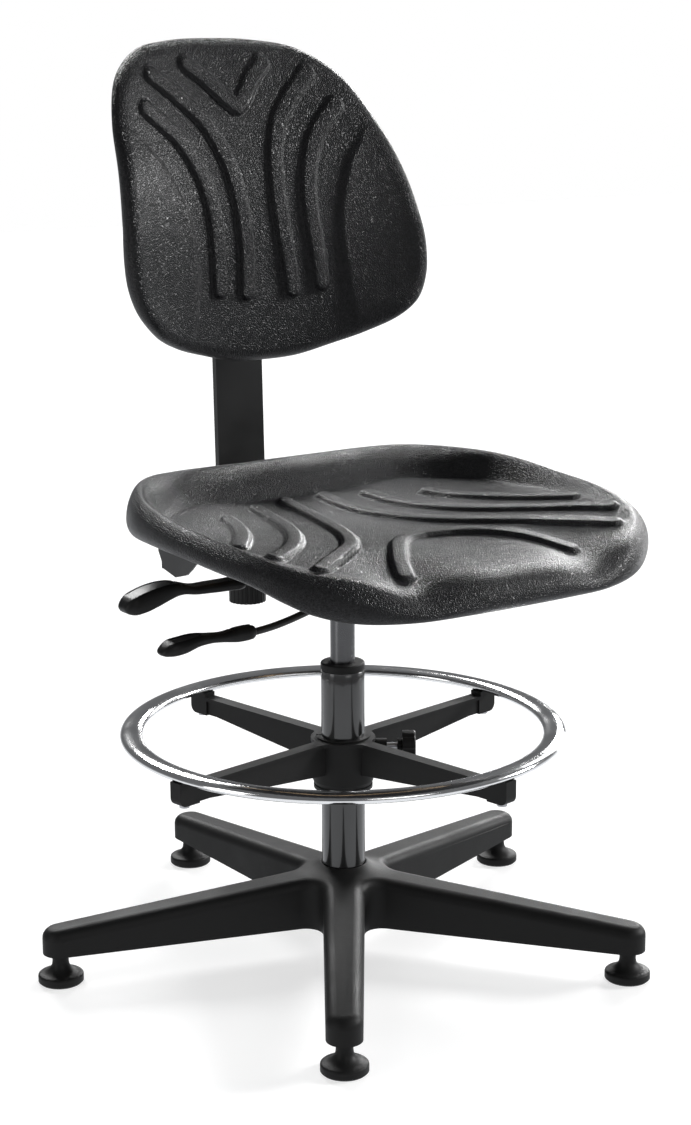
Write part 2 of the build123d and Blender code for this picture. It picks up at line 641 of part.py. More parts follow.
with BuildPart() as height_lever_grip:
    for x, z, wide, tall in (
        (-144, 409.6, 15, 15), (-150, 409.5, 16, 16), (-172, 408.5, 17, 15), (-192, 410, 18, 11.5),
        (-216, 410.5, 25, 12), (-240, 408, 28, 13), (HEIGHT_TIP_X, 403, 24, 9),
    ):
        add(grip_section(x, HEIGHT_LEVER_Y, z, wide, tall))
    loft()
    add(height_lever_rod.part, mode=Mode.SUBTRACT)
height_lever_grip.part.label = "height_lever_grip"
export_step(height_lever_grip.part, "parts/height_lever_grip.step")

with BuildPart() as tilt_lever_arm:
    with BuildSketch(Plane.XZ.offset(-(TILT_LEVER_Y - 10))):
        Polygon((-30, 434), (-30, 439), (-96, 440), (-190, 444), (-190, 440), (-96, 435), align=None)
    extrude(amount=-20)
    along_y(48, 72, *TILT_PIVOT, 6.5)
    along_y(40, 80, *TILT_PIVOT, TILT_PIN + FIT, Mode.SUBTRACT)
tilt_lever_arm.part.label = "tilt_lever_arm"
export_step(tilt_lever_arm.part, "parts/tilt_lever_arm.step")

with BuildPart() as tilt_lever_grip:
    for x, z, wide, tall in (
        (-96, 437.5, 25, 13), (-130, 438, 25, 13), (-162, 440, 25, 13), (-190, 442, 28, 14),
        (-215, 439, 31, 15), (TILT_TIP_X, 430, 29, 13),
    ):
        add(grip_section(x, TILT_LEVER_Y, z, wide, tall))
    loft()
    add(tilt_lever_arm.part, mode=Mode.SUBTRACT)
tilt_lever_grip.part.label = "tilt_lever_grip"
export_step(tilt_lever_grip.part, "parts/tilt_lever_grip.step")

# ---------------------------------------------------------------- seat
PLATE_FRONT = -115.0
PLATE_REAR = 158.0
EAR_X = 57.3
EAR_RADIUS = 11.0
BOARD_Z = PLATE_Z + PLATE_THICK
BOARD_THICK = 12.0
BOARD_HALF = 125.0
BOARD_FRONT = -135.0
BOARD_REAR = 138.0
SEAT_BOLTS = [(x, y) for x in (-85, 85) for y in (-95, 112)]
BACK_EAR_X = 104.2

with BuildPart() as seat_plate:
    with BuildSketch(Plane.XY.offset(PLATE_Z)):
        with Locations((0, (PLATE_FRONT + PLATE_REAR) / 2)):
            RectangleRounded(2 * (BACK_EAR_X + 3), PLATE_REAR - PLATE_FRONT, 6)
        with Locations(*SEAT_BOLTS):
            Circle(SCREW_RADIUS, mode=Mode.SUBTRACT)
    extrude(amount=PLATE_THICK)
    for ear_x, y, z, radius in (
        (EAR_X, TILT_Y, TILT_Z, EAR_RADIUS), (BACK_EAR_X, BACK_Y - 4, BACK_Z, EAR_RADIUS),
    ):
        for sign in (-1, 1):
            with BuildSketch(Plane.YZ.offset(sign * ear_x)):
                with Locations((y, z)):
                    Circle(radius)
                with Locations((y, (z + PLATE_Z + 1) / 2)):
                    Rectangle(2 * radius, PLATE_Z + 1 - z)
            extrude(amount=sign * 3)
    with BuildSketch(Plane.YZ):
        with Locations((TILT_Y, TILT_Z)):
            Circle(SHAFT_RADIUS + FIT)
        with Locations((BACK_Y - 4, BACK_Z)):
            Circle(4)
    extrude(amount=FAR, both=True, mode=Mode.SUBTRACT)
seat_plate.part.label = "seat_plate"
export_step(seat_plate.part, "parts/seat_plate.step")

with BuildPart() as back_pivot_pins:
    for sign in (-1, 1):
        with BuildSketch(Plane.YZ.offset(sign * (BACK_EAR_X - 1))):
            with Locations((BACK_Y - 4, BACK_Z)):
                Circle(4)
        extrude(amount=sign * 11)
        with BuildSketch(Plane.YZ.offset(sign * (BACK_EAR_X - 1))):
            with Locations((BACK_Y - 4, BACK_Z)):
                Circle(7)
        extrude(amount=-sign * 3)
back_pivot_pins.part.label = "back_pivot_pins"
export_step(back_pivot_pins.part, "parts/back_pivot_pins.step")

with BuildPart() as seat_board:
    with BuildSketch(Plane.XY.offset(BOARD_Z)):
        with Locations((0, (BOARD_FRONT + BOARD_REAR) / 2)):
            RectangleRounded(2 * BOARD_HALF, BOARD_REAR - BOARD_FRONT, 45)
        with Locations(*SEAT_BOLTS):
            Circle(SCREW_RADIUS, mode=Mode.SUBTRACT)
    extrude(amount=BOARD_THICK)
seat_board.part.label = "seat_board"
export_step(seat_board.part, "parts/seat_board.step")

with BuildPart() as seat_bolts:
    with BuildSketch(Plane.XY.offset(PLATE_Z)):
        with Locations(*SEAT_BOLTS):
            Circle(SCREW_RADIUS)
    extrude(amount=PLATE_THICK + BOARD_THICK)
    with BuildSketch(Plane.XY.offset(PLATE_Z)):
        with Locations(*SEAT_BOLTS):
            RegularPolygon(5.8, 6)
    extrude(amount=-4)
seat_bolts.part.label = "seat_bolts"
export_step(seat_bolts.part, "parts/seat_bolts.step")


def seat_section(y, half, rim, middle, under, under_rim):
    """Closed outline of the seat across the sitter at a distance along Y."""
    with BuildSketch(Plane.XZ.offset(-y)) as section:
        with BuildLine():
            top = Spline([(-half, rim - 6), (-half * 0.93, rim), (0, middle), (half * 0.93, rim), (half, rim - 6)])
            right = Line(top @ 1, (half - 6, under_rim))
            bottom = Spline([right @ 1, (0, under), (6 - half, under_rim)])
            Line(bottom @ 1, top @ 0)
        make_face()
    return section.sketch


# y, half width, rim crest, centre of the top, centre of the underside, rim underside
SEAT_STATIONS = [
    (158, 132, 547, 546, 496, 498), (145, 180, 554, 552, 489, 491), (100, 217, 555, 531, 486, 491),
    (50, 245, 553, 514, 486, 503), (-30, 264, 549, 512, 486, 511), (-110, 266, 542, 514, 486, 511),
    (-190, 261, 534, 518, 484, 502), (-240, 241, 524, 517, 477, 490), (-285, 197, 512, 513, 471, 477),
    (-315, 130, 502, 508, 469, 471), (-328, 70, 494, 496, 475, 477),
]
with BuildPart() as seat_cushion:
    for station in SEAT_STATIONS:
        add(seat_section(*station))
    loft()
    with BuildSketch(Plane.XY.offset(BOARD_Z)):
        with Locations((0, (BOARD_FRONT + BOARD_REAR) / 2)):
            RectangleRounded(2 * BOARD_HALF, BOARD_REAR - BOARD_FRONT, 45)
    extrude(amount=BOARD_THICK, mode=Mode.SUBTRACT)
    with BuildSketch(Plane.XY.offset(BOARD_Z)):
        Rectangle(3 * BOARD_HALF, 4 * BOARD_HALF)
    extrude(amount=-6, mode=Mode.SUBTRACT)
seat_cushion.part.label = "seat_cushion"
export_step(seat_cushion.part, "parts/seat_cushion.step")

# ---------------------------------------------------------------- back
LEAN = radians(BAR_LEAN)
BAR_DOWN = -122.0           # along the bar from its reference point
BAR_UP = 300.0
CROSS_FROM = -124.0
CROSS_TALL = 46.0


def bar_plane(depth):
    """Plane across the upright's face, at a depth behind its front: X sideways, Y up."""
    return Plane(
        origin=(0, BAR_FRONT_Y + depth * cos(LEAN), BAR_FRONT_Z - depth * sin(LEAN)),
        x_dir=(-1, 0, 0),
        z_dir=(0, cos(LEAN), -sin(LEAN)),
    )


BAR_BOLTS = [(0, CROSS_FROM + 12), (0, CROSS_FROM + 34)]
with BuildPart() as back_upright:
    with BuildSketch(bar_plane(0)):
        with Locations((0, (BAR_DOWN + BAR_UP) / 2)):
            RectangleRounded(BAR_WIDTH, BAR_UP - BAR_DOWN, 3)
        with Locations(*BAR_BOLTS):
            Circle(4, mode=Mode.SUBTRACT)
    extrude(amount=BAR_THICK)
back_upright.part.label = "back_upright"
export_step(back_upright.part, "parts/back_upright.step")

with BuildPart() as upright_cap:
    with BuildSketch(bar_plane(0)):
        with Locations((0, BAR_UP + 2)):
            RectangleRounded(BAR_WIDTH, 4, 1.9)
    extrude(amount=BAR_THICK)
upright_cap.part.label = "upright_cap"
export_step(upright_cap.part, "parts/upright_cap.step")

FLANGE = [
    (219, 470), (220, 446), (207, 426), (181, 421), (157, 428), (145, 437), (136, 445), (136, 458),
    (148, 468), (180, 470),
]
with BuildPart() as back_bracket:
    with BuildSketch(bar_plane(BAR_THICK)):
        with Locations((0, CROSS_FROM + CROSS_TALL / 2)):
            Rectangle(2 * FLANGE_X, CROSS_TALL)
        with Locations(*BAR_BOLTS):
            Circle(4, mode=Mode.SUBTRACT)
    extrude(amount=SHEET)
    for sign in (-1, 1):
        with BuildSketch(Plane.YZ.offset(sign * FLANGE_X)):
            Polygon(*FLANGE, align=None)
            with Locations((BACK_Y - 4, BACK_Z)):
                Circle(4 + FIT, mode=Mode.SUBTRACT)
        extrude(amount=sign * 3)
back_bracket.part.label = "back_bracket"
export_step(back_bracket.part, "parts/back_bracket.step")

with BuildPart() as upright_bolts:
    with BuildSketch(bar_plane(0)):
        with Locations(*BAR_BOLTS):
            Circle(4)
    extrude(amount=BAR_THICK + SHEET + 9)
    with BuildSketch(bar_plane(0)):
        with Locations(*BAR_BOLTS):
            Circle(7.5)
    extrude(amount=-3)
    with BuildSketch(bar_plane(BAR_THICK + SHEET)):
        with Locations(*BAR_BOLTS):
            RegularPolygon(7.5, 6)
            Circle(4, mode=Mode.SUBTRACT)
    extrude(amount=6)
upright_bolts.part.label = "upright_bolts"
export_step(upright_bolts.part, "parts/upright_bolts.step")

# ---------------------------------------------------------------- backrest
SLEEVE_UP = 226.0           # middle of the height sleeve, along the bar
SLEEVE_TALL = 110.0
BACK_PLATE_DEPTH = -14.0
BACK_SCREWS = [(x, SLEEVE_UP + s) for x in (-58, 58) for s in (-42, 42)]
BACK_STUD = 4.0

with BuildPart() as height_sleeve:
    with BuildSketch(bar_plane(BACK_PLATE_DEPTH + SHEET)):
        with Locations((0, SLEEVE_UP)):
            RectangleRounded(BAR_WIDTH + 16, SLEEVE_TALL, 4)
    extrude(amount=BAR_THICK + 6 - BACK_PLATE_DEPTH - SHEET)
    with BuildSketch(bar_plane(-FIT)):
        with Locations((0, SLEEVE_UP)):
            Rectangle(BAR_WIDTH + 2 * FIT, SLEEVE_TALL + 2)
    extrude(amount=BAR_THICK + 2 * FIT, mode=Mode.SUBTRACT)
    with BuildSketch(bar_plane(BAR_THICK)):
        with Locations((0, SLEEVE_UP)):
            Circle(BACK_STUD + FIT)
    extrude(amount=20, mode=Mode.SUBTRACT)
height_sleeve.part.label = "height_sleeve"
export_step(height_sleeve.part, "parts/height_sleeve.step")

with BuildPart() as back_plate:
    with BuildSketch(bar_plane(BACK_PLATE_DEPTH)):
        with Locations((0, SLEEVE_UP)):
            RectangleRounded(150, 120, 16)
        with Locations(*BACK_SCREWS):
            Circle(SCREW_RADIUS, mode=Mode.SUBTRACT)
    extrude(amount=SHEET)
back_plate.part.label = "back_plate"
export_step(back_plate.part, "parts/back_plate.step")

with BuildPart() as back_screws:
    with BuildSketch(bar_plane(BACK_PLATE_DEPTH + SHEET)):
        with Locations(*BACK_SCREWS):
            Circle(SCREW_RADIUS)
    extrude(amount=-SHEET - 12)
    with BuildSketch(bar_plane(BACK_PLATE_DEPTH + SHEET)):
        with Locations(*BACK_SCREWS):
            Circle(5.5)
    extrude(amount=3.5)
    with BuildSketch(bar_plane(BACK_PLATE_DEPTH + SHEET + 3.5)):
        with Locations(*BACK_SCREWS):
            RegularPolygon(2.6, 6)
    extrude(amount=-2, mode=Mode.SUBTRACT)
back_screws.part.label = "back_screws"
export_step(back_screws.part, "parts/back_screws.step")

with BuildPart() as back_knob_stud:
    with BuildSketch(bar_plane(BAR_THICK + 0.2)):
        with Locations((0, SLEEVE_UP)):
            Circle(BACK_STUD)
    extrude(amount=23.8)
back_knob_stud.part.label = "back_knob_stud"
export_step(back_knob_stud.part, "parts/back_knob_stud.step")

knob_seat = bar_plane(BAR_THICK + 6 + 8)
with BuildPart() as back_knob_grip:
    star_knob(
        Plane(origin=knob_seat.from_local_coords((0, SLEEVE_UP, 0)),
              x_dir=knob_seat.x_dir, z_dir=knob_seat.z_dir),
        20, 18, BACK_STUD, 7,
    )
back_knob_grip.part.label = "back_knob_grip"
export_step(back_knob_grip.part, "parts/back_knob_grip.step")


def back_front(z):
    """Depth of the backrest's front surface on the centre line."""
    return 143 + 0.05 * (z - 735) + 0.00112 * (z - 735) ** 2


def back_section(z, drop, rim_thick, middle_thick):
    """Curved slice of the backrest's slab at a height, wider than the backrest itself."""
    middle = back_front(z)
    edge = middle - drop
    with BuildSketch(Plane.XY.offset(z)) as section:
        with BuildLine():
            front = ThreePointArc((-SLAB_HALF, edge), (0, middle), (SLAB_HALF, edge))
            right = Line(front @ 1, (SLAB_HALF, edge + rim_thick))
            back = ThreePointArc(right @ 1, (0, middle + middle_thick), (-SLAB_HALF, edge + rim_thick))
            Line(back @ 1, front @ 0)
        make_face()
    return section.sketch


# height, how far the wings come forward, rim thickness, thickness in the middle
SLAB_HALF = 205.0
BACK_STATIONS = [
    (670, 49, 26, 32), (740, 47, 30, 38), (800, 48, 30, 40), (860, 49, 30, 37), (920, 42, 29, 33),
    (975, 33, 28, 30), (1040, 27, 22, 24),
]
BACK_TOP = 1031.0
BACK_BOTTOM = 677.0
BACK_SIDE = [
    (30, BACK_BOTTOM), (80, 687), (130, 700), (159, 713), (181, 732), (193, 757), (197, 787),
    (190, 838), (182, 885), (162, 945), (134, 1001), (95, 1022), (50, BACK_TOP),
]
with BuildPart() as backrest_cushion:
    for station in BACK_STATIONS:
        add(back_section(*station))
    loft()
    with BuildSketch(Plane.XZ):
        with BuildLine():
            side = Spline(BACK_SIDE, tangents=[(1, 0), (-1, 0)])
            mirror(side, about=Plane.YZ)
            Line((-BACK_SIDE[0][0], BACK_BOTTOM), (BACK_SIDE[0][0], BACK_BOTTOM))
            Line((-BACK_SIDE[-1][0], BACK_TOP), (BACK_SIDE[-1][0], BACK_TOP))
        make_face()
    extrude(amount=-FAR, mode=Mode.INTERSECT)
    with BuildSketch(bar_plane(BACK_PLATE_DEPTH)):
        with Locations((0, SLEEVE_UP)):
            RectangleRounded(166, 136, 24)
    extrude(amount=-32)
    with BuildSketch(bar_plane(BACK_PLATE_DEPTH)):
        with Locations(*BACK_SCREWS):
            Circle(SCREW_RADIUS)
    extrude(amount=-12, mode=Mode.SUBTRACT)
backrest_cushion.part.label = "backrest_cushion"
export_step(backrest_cushion.part, "parts/backrest_cushion.step")
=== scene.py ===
"""Looks of the drafting chair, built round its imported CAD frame.

Blender's unit is the metre. The shapes of the moulded pieces are given in millimetres, as in
the CAD source, and scaled once, where their meshes are made. The sitter faces -Y.
"""

import json
from math import cos, pi, radians, sin, tan

import bpy
import numpy as np
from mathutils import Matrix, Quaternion, Vector


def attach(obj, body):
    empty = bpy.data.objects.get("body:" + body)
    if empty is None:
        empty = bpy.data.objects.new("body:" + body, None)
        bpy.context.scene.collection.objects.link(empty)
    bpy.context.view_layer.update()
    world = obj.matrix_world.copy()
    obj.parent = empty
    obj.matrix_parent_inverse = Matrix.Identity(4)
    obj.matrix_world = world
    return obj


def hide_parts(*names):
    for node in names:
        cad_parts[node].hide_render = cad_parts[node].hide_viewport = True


MM = 0.001

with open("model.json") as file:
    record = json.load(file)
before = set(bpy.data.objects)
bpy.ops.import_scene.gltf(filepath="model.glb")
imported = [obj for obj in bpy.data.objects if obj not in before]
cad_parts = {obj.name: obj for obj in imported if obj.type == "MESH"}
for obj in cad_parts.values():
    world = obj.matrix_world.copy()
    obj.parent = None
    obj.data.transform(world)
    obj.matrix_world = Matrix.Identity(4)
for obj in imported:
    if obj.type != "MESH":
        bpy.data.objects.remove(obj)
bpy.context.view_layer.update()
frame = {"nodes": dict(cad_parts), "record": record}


# ---------------------------------------------------------------- camera, light, floor
VIEW_SIDE = radians(34.6)       # the camera stands to the sitter's right of straight ahead
VIEW_DOWN = 0.230               # radians below the horizon
VIEW_ROLL = -0.005
CAMERA_AWAY = 2.481             # from the column, over the floor
CAMERA_UP = 1.039
LENS = 72.5                     # on a 36 mm sensor, along the picture's height
SHIFT_X = 0.003


def set_camera():
    """Camera at the angle of the product picture."""
    data = bpy.data.cameras.new("camera")
    data.sensor_width = 36
    data.lens = LENS
    data.shift_x = SHIFT_X
    camera = bpy.data.objects.new("camera", data)
    bpy.context.scene.collection.objects.link(camera)
    over_floor = Vector((sin(VIEW_SIDE), cos(VIEW_SIDE), 0))
    camera.location = Vector((0, 0, CAMERA_UP)) - CAMERA_AWAY * over_floor
    ahead = over_floor * cos(VIEW_DOWN) - Vector((0, 0, sin(VIEW_DOWN)))
    roll = Quaternion((0, 0, 1), VIEW_ROLL)
    camera.rotation_mode = "QUATERNION"
    camera.rotation_quaternion = ahead.to_track_quat("-Z", "Y") @ roll
    bpy.context.scene.camera = camera


def add_sun(name, come_from, strength, spread):
    """A far, broad light that comes from a direction, as from a large softbox."""
    data = bpy.data.lights.new(name, "SUN")
    data.energy = strength
    data.angle = radians(spread)
    sun = bpy.data.objects.new(name, data)
    sun.rotation_mode = "QUATERNION"
    sun.rotation_quaternion = Vector(come_from).to_track_quat("Z", "Y")
    bpy.context.scene.collection.objects.link(sun)


def add_panel(name, place, width, height, power):
    """An upright bright panel that faces the column, for long reflections in metal and edges."""
    data = bpy.data.lights.new(name, "AREA")
    data.shape = "RECTANGLE"
    data.size, data.size_y = width, height
    data.energy = power
    panel = bpy.data.objects.new(name, data)
    panel.location = place
    panel.rotation_mode = "QUATERNION"
    panel.rotation_quaternion = Vector((place[0], place[1], 0)).to_track_quat("Z", "Y")
    bpy.context.scene.collection.objects.link(panel)


RANGE = ("From Min", "From Max", "To Min", "To Max")    # a Map Range node's sockets
HORIZON = (-0.3, 0.05)          # directions that rise less see pale floor, those that rise more see room
GLOW = (0.9, 0.13)              # of that floor, and of the room


def set_world():
    """White backdrop, and for what the chair reflects a dark studio over a pale floor."""
    world = bpy.data.worlds.new("studio")
    bpy.context.scene.world = world
    world.use_nodes = True
    tree = world.node_tree
    tree.nodes.clear()
    path = tree.nodes.new("ShaderNodeLightPath")
    seen = tree.nodes.new("ShaderNodeBackground")
    seen.inputs["Color"].default_value = (1, 1, 1, 1)
    room = tree.nodes.new("ShaderNodeBackground")
    room.inputs["Color"].default_value = (0.95, 0.97, 1, 1)
    along = tree.nodes.new("ShaderNodeSeparateXYZ")
    tree.links.new(tree.nodes.new("ShaderNodeTexCoord").outputs["Generated"], along.inputs[0])
    rise = tree.nodes.new("ShaderNodeMapRange")
    for socket, number in zip(RANGE, HORIZON + GLOW):
        rise.inputs[socket].default_value = number
    tree.links.new(along.outputs["Z"], rise.inputs["Value"])
    tree.links.new(rise.outputs[0], room.inputs["Strength"])
    mix = tree.nodes.new("ShaderNodeMixShader")
    out = tree.nodes.new("ShaderNodeOutputWorld")
    tree.links.new(path.outputs["Is Camera Ray"], mix.inputs["Fac"])
    tree.links.new(room.outputs[0], mix.inputs[1])
    tree.links.new(seen.outputs[0], mix.inputs[2])
    tree.links.new(mix.outputs[0], out.inputs["Surface"])


FLOOR_GREY = 0.45
FLOOR_LIGHT = 0.66              # its own light, which brings it up to the backdrop


def add_floor(half=9.0):
    """Pale plain floor that meets the white backdrop without a line.

    Gloss on the chair doesn't reflect it: the world's lower half stands in for it there.
    """
    mesh = bpy.data.meshes.new("floor")
    corners = [(-half, -half, 0), (half, -half, 0), (half, half, 0), (-half, half, 0)]
    mesh.from_pydata(corners, [], [(0, 1, 2, 3)])
    floor = bpy.data.objects.new("floor", mesh)
    bpy.context.scene.collection.objects.link(floor)
    paint = bpy.data.materials.new("floor_paint")
    paint.use_nodes = True
    shader = paint.node_tree.nodes["Principled BSDF"]
    shader.inputs["Base Color"].default_value = (FLOOR_GREY, FLOOR_GREY, FLOOR_GREY, 1)
    shader.inputs["Roughness"].default_value = 0.75
    shader.inputs["Specular IOR Level"].default_value = 0.1
    shader.inputs["Emission Color"].default_value = (1, 1, 1, 1)
    shader.inputs["Emission Strength"].default_value = FLOOR_LIGHT
    mesh.materials.append(paint)
    floor.visible_glossy = False


bpy.context.scene.view_settings.view_transform = "Standard"
set_camera()
set_world()
add_floor()
add_sun("side_softbox", (0.96, -0.29, 0.47), 2.9, 15)
add_sun("front_softbox", (-0.07, -1.0, 0.50), 0.45, 30)
add_sun("back_softbox", (0.22, 0.80, 0.60), 1.9, 18)
add_sun("edge_softbox", (0.77, 0.58, 0.30), 1.4, 14)
add_panel("left_panel", (-2.5, 0.1, 1.0), 0.9, 2.4, 16)
add_panel("right_panel", (2.4, 0.7, 1.0), 0.8, 2.4, 14)


# ---------------------------------------------------------------- materials
def start_material(name, color, roughness, **sockets):
    """A node material with one Principled shader, and the object coordinates that its detail uses."""
    made = bpy.data.materials.new(name)
    made.use_nodes = True
    tree = made.node_tree
    shader = tree.nodes["Principled BSDF"]
    shader.inputs["Base Color"].default_value = (*color, 1)
    shader.inputs["Roughness"].default_value = roughness
    for socket, value in sockets.items():
        shader.inputs[socket.replace("_", " ")].default_value = value
    place = tree.nodes.new("ShaderNodeTexCoord").outputs["Object"]
    return made, tree, shader, place


def noise(tree, place, size, detail=3.0, stretch=(1, 1, 1)):
    """Output of a noise whose features are about a size across, in metres."""
    scaled = tree.nodes.new("ShaderNodeMapping")
    scaled.inputs["Scale"].default_value = [s / size for s in stretch]
    tree.links.new(place, scaled.inputs["Vector"])
    made = tree.nodes.new("ShaderNodeTexNoise")
    made.inputs["Scale"].default_value = 1.0
    made.inputs["Detail"].default_value = detail
    tree.links.new(scaled.outputs[0], made.inputs["Vector"])
    return made.outputs["Fac"]


def cells(tree, place, size):
    """Output that is 0 in the creases between leather-like cells and rises inside them."""
    made = tree.nodes.new("ShaderNodeTexVoronoi")
    made.feature = "DISTANCE_TO_EDGE"
    made.inputs["Scale"].default_value = 1 / size
    tree.links.new(place, made.inputs["Vector"])
    return made.outputs["Distance"]


def ranged(tree, value, low, high, to_low, to_high, smooth=False):
    """A value carried from one range to another."""
    made = tree.nodes.new("ShaderNodeMapRange")
    made.interpolation_type = "SMOOTHSTEP" if smooth else "LINEAR"
    for socket, number in zip(RANGE, (low, high, to_low, to_high)):
        made.inputs[socket].default_value = number
    tree.links.new(value, made.inputs["Value"])
    return made.outputs["Result"]


def bump(tree, shader, height, strength, depth, after=None):
    """Put a height on the shader's normal, on top of an earlier bump if one is given."""
    made = tree.nodes.new("ShaderNodeBump")
    made.inputs["Strength"].default_value = strength
    made.inputs["Distance"].default_value = depth
    tree.links.new(height, made.inputs["Height"])
    if after:
        tree.links.new(after, made.inputs["Normal"])
    tree.links.new(made.outputs[0], shader.inputs["Normal"])
    return made.outputs[0]


def tint(tree, shader, share, dark, light):
    """Vary the base colour between two colours."""
    made = tree.nodes.new("ShaderNodeMix")
    made.data_type = "RGBA"
    made.inputs[6].default_value = (*dark, 1)
    made.inputs[7].default_value = (*light, 1)
    tree.links.new(share, made.inputs["Factor"])
    tree.links.new(made.outputs[2], shader.inputs["Base Color"])


def skin():
    """Integral-skin polyurethane: leather grain with a soft sheen, and painted highlights and painted shade
    in specks on its colour.
    """
    made, tree, shader, place = start_material("skin", (0.006, 0.006, 0.0065), 0.34, Specular_IOR_Level=0.3)
    pebbles = ranged(tree, cells(tree, place, 0.0023), 0.0, 0.28, 0.0, 1.0, smooth=True)
    first = bump(tree, shader, pebbles, 0.8, 0.0005)
    second = bump(tree, shader, noise(tree, place, 0.0030, 3), 0.7, 0.0007, after=first)
    bump(tree, shader, noise(tree, place, 0.035, 2), 0.25, 0.003, after=second)
    worn = noise(tree, place, 0.09, 3)
    tree.links.new(ranged(tree, worn, 0.3, 0.7, 0.29, 0.39), shader.inputs["Roughness"])
    # Painted highlights and painted shade: the base colour goes lighter and darker in specks about 2 mm
    # across, standing in for light on the grain.
    tint(tree, shader, ranged(tree, noise(tree, place, 0.0022, 3), 0.42, 0.68, 0, 1),
         (0.0015, 0.0015, 0.002), (0.011, 0.011, 0.0125))
    return made


def moulded(name, level, roughness, grain, strength):
    """Moulded black nylon or polypropylene with a fine sparked texture."""
    made, tree, shader, place = start_material(name, (level,) * 3, roughness, Specular_IOR_Level=0.17)
    first = bump(tree, shader, noise(tree, place, grain, 2), strength, 0.0003)
    bump(tree, shader, noise(tree, place, 0.03, 2), 0.15, 0.002, after=first)
    patches = noise(tree, place, 0.06, 4)
    uneven = ranged(tree, patches, 0.3, 0.7, roughness - 0.05, roughness + 0.06)
    tree.links.new(uneven, shader.inputs["Roughness"])
    tint(tree, shader, patches, (level * 0.75,) * 3, (level * 1.3,) * 3)
    return made


def painted(name, level, roughness, peel, coat=0.0):
    """Black paint on steel, with orange peel and, on gloss enamel, a clear coat."""
    made, tree, shader, place = start_material(
        name, (level,) * 3, roughness, Coat_Weight=coat, Coat_Roughness=0.04
    )
    bump(tree, shader, noise(tree, place, 0.0016, 2), peel, 0.0002)
    cloud = noise(tree, place, 0.05, 3)
    uneven = ranged(tree, cloud, 0.3, 0.7, roughness * 0.85, roughness * 1.2)
    tree.links.new(uneven, shader.inputs["Roughness"])
    tint(tree, shader, cloud, (level * 0.8,) * 3, (level * 1.25,) * 3)
    return made


def metal(name, color, roughness, scratch, stretch=(1, 1, 1)):
    """Plated or bare metal with fine marks that may run one way."""
    made, tree, shader, place = start_material(name, color, roughness, Metallic=1.0)
    marks = noise(tree, place, 0.0012, 2, stretch)
    bump(tree, shader, marks, scratch, 0.00005)
    haze = noise(tree, place, 0.04, 3)
    tree.links.new(ranged(tree, haze, 0.3, 0.7, roughness * 0.7, roughness * 1.4), shader.inputs["Roughness"])
    tint(tree, shader, haze, [c * 0.92 for c in color], color)
    return made


def rubber():
    """Plain black rubber."""
    made, tree, shader, place = start_material("rubber", (0.02, 0.02, 0.02), 0.7, Specular_IOR_Level=0.3)
    bump(tree, shader, noise(tree, place, 0.0008, 3), 0.3, 0.0002)
    tint(tree, shader, noise(tree, place, 0.01, 3), (0.014, 0.014, 0.014), (0.03, 0.03, 0.029))
    return made


def plywood():
    """Birch plywood: long grain on its faces."""
    made, tree, shader, place = start_material("plywood", (0.5, 0.36, 0.22), 0.62)
    grain = noise(tree, place, 0.004, 4, (1, 0.08, 6))
    bump(tree, shader, grain, 0.25, 0.0004)
    tint(tree, shader, ranged(tree, grain, 0.3, 0.7, 0, 1), (0.36, 0.24, 0.13), (0.58, 0.42, 0.26))
    return made


looks = {
    "seat_skin": skin(),
    "base_nylon": moulded("nylon", 0.009, 0.52, 0.0010, 0.5),
    "spider_plastic": moulded("glass_nylon", 0.010, 0.5, 0.0012, 0.4),
    "lever_plastic": moulded("lever_plastic", 0.010, 0.36, 0.0008, 0.3),
    "gloss_black_steel": painted("gloss_enamel", 0.008, 0.22, 0.05, coat=1.0),
    "black_steel": painted("powder_coat", 0.012, 0.42, 0.35),
    "lift_steel": metal("lift_finish", (0.12, 0.12, 0.123), 0.24, 0.12, (1, 1, 0.05)),
    "rod_chrome": metal("rod_chrome", (0.75, 0.75, 0.76), 0.08, 0.04, (1, 1, 0.1)),
    "ring_chrome": metal("ring_chrome", (0.95, 0.95, 0.955), 0.12, 0.02),
    "steel": metal("zinc", (0.5, 0.5, 0.52), 0.3, 0.2),
    "buffer_rubber": rubber(),
    "board_wood": plywood(),
}
for row in frame["record"]["subparts"]:
    for material_slot in frame["nodes"][row["node"]].material_slots:
        material_slot.material = looks[row["material_slot"]]


# ---------------------------------------------------------------- mesh helpers
def smooth_through(keys, at):
    """Values, at some places, of a smooth curve through (place, value) keys in rising order."""
    place, value = np.array(keys, float).T
    slope = np.gradient(value, place)
    at = np.clip(at, place[0], place[-1])
    n = np.clip(np.searchsorted(place, at) - 1, 0, len(place) - 2)
    span = place[n + 1] - place[n]
    t = (at - place[n]) / span
    return (
        value[n] * (1 + 2 * t) * (1 - t) ** 2
        + slope[n] * span * t * (1 - t) ** 2
        + value[n + 1] * t * t * (3 - 2 * t)
        + slope[n + 1] * span * t * t * (t - 1)
    )


def smooth_step(value, low, high):
    """0 below low, 1 above high, and a smooth rise between."""
    t = np.clip((value - low) / (high - low), 0, 1)
    return t * t * (3 - 2 * t)


def chord_length(points):
    """Distance along a chain of points, up to each point."""
    return np.concatenate([[0], np.cumsum(np.linalg.norm(np.diff(points, axis=0), axis=1))])


def smooth_line(points, step=1.2):
    """Close points on a smooth line through a few points."""
    points = np.array(points, float)
    along = chord_length(points)
    at = np.arange(0, along[-1] + step, step)
    return np.stack([smooth_through(np.stack([along, points[:, k]], 1), at) for k in (0, 1)], 1)


